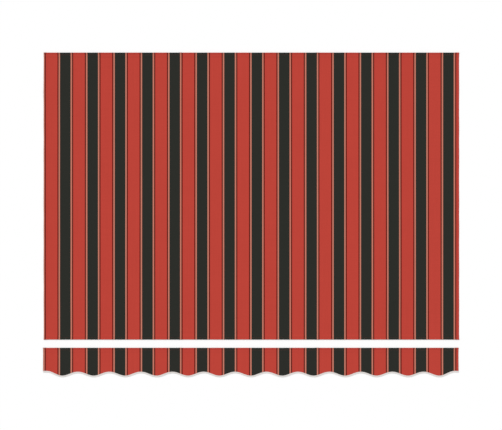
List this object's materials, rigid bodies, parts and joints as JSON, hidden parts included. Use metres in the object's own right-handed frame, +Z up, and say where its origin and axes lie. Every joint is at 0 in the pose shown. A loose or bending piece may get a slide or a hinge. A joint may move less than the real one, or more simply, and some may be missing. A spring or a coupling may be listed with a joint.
{
  "type": "awning cover cloth with valance",
  "caption": "Striped awning cloth set laid flat: sewn cover cloth with beaded front and rear pockets, and a separate beaded valance with a bound scalloped edge.",
  "frame": {"origin": "bottom centre of the laid-out set: the floor under the middle of the outline of cover and valance together", "axes": "+X across the width, left to right as seen from above; +Y from the valance to the cover's rear edge, the one that goes on the roller; +Z up out of the cloth's outer face"},
  "size_m": [3.405, 2.656, 0.0094],
  "materials": {
    "striped_cloth": "woven acrylic, matt, red and black fields between pale lines",
    "sewing_thread": "red sewing thread, low sheen",
    "binding_thread": "white sewing thread, low sheen",
    "binding_tape": "white woven tape, matt",
    "bead_cord": "pale grey extruded cord, satin"
  },
  "bodies": {
    "root": {"cover_cloth_left": "striped_cloth", "cover_cloth_middle": "striped_cloth", "cover_cloth_right": "striped_cloth", "cover_rear_bead": "bead_cord", "cover_front_bead": "bead_cord", "cover_left_hem_stitching": "sewing_thread", "cover_right_hem_stitching": "sewing_thread", "cover_left_seam_stitching_a": "sewing_thread", "cover_left_seam_stitching_b": "sewing_thread", "cover_right_seam_stitching_a": "sewing_thread", "cover_right_seam_stitching_b": "sewing_thread", "cover_rear_pocket_stitching": "sewing_thread", "cover_front_pocket_stitching": "sewing_thread", "valance_cloth_left": "striped_cloth", "valance_cloth_middle": "striped_cloth", "valance_cloth_right": "striped_cloth", "valance_bead": "bead_cord", "valance_binding": "binding_tape", "valance_binding_stitching": "binding_thread", "valance_left_hem_stitching": "sewing_thread", "valance_right_hem_stitching": "sewing_thread", "valance_left_seam_stitching_a": "sewing_thread", "valance_left_seam_stitching_b": "sewing_thread", "valance_right_seam_stitching_a": "sewing_thread", "valance_right_seam_stitching_b": "sewing_thread", "valance_pocket_stitching": "sewing_thread"}
  },
  "joints": []
}
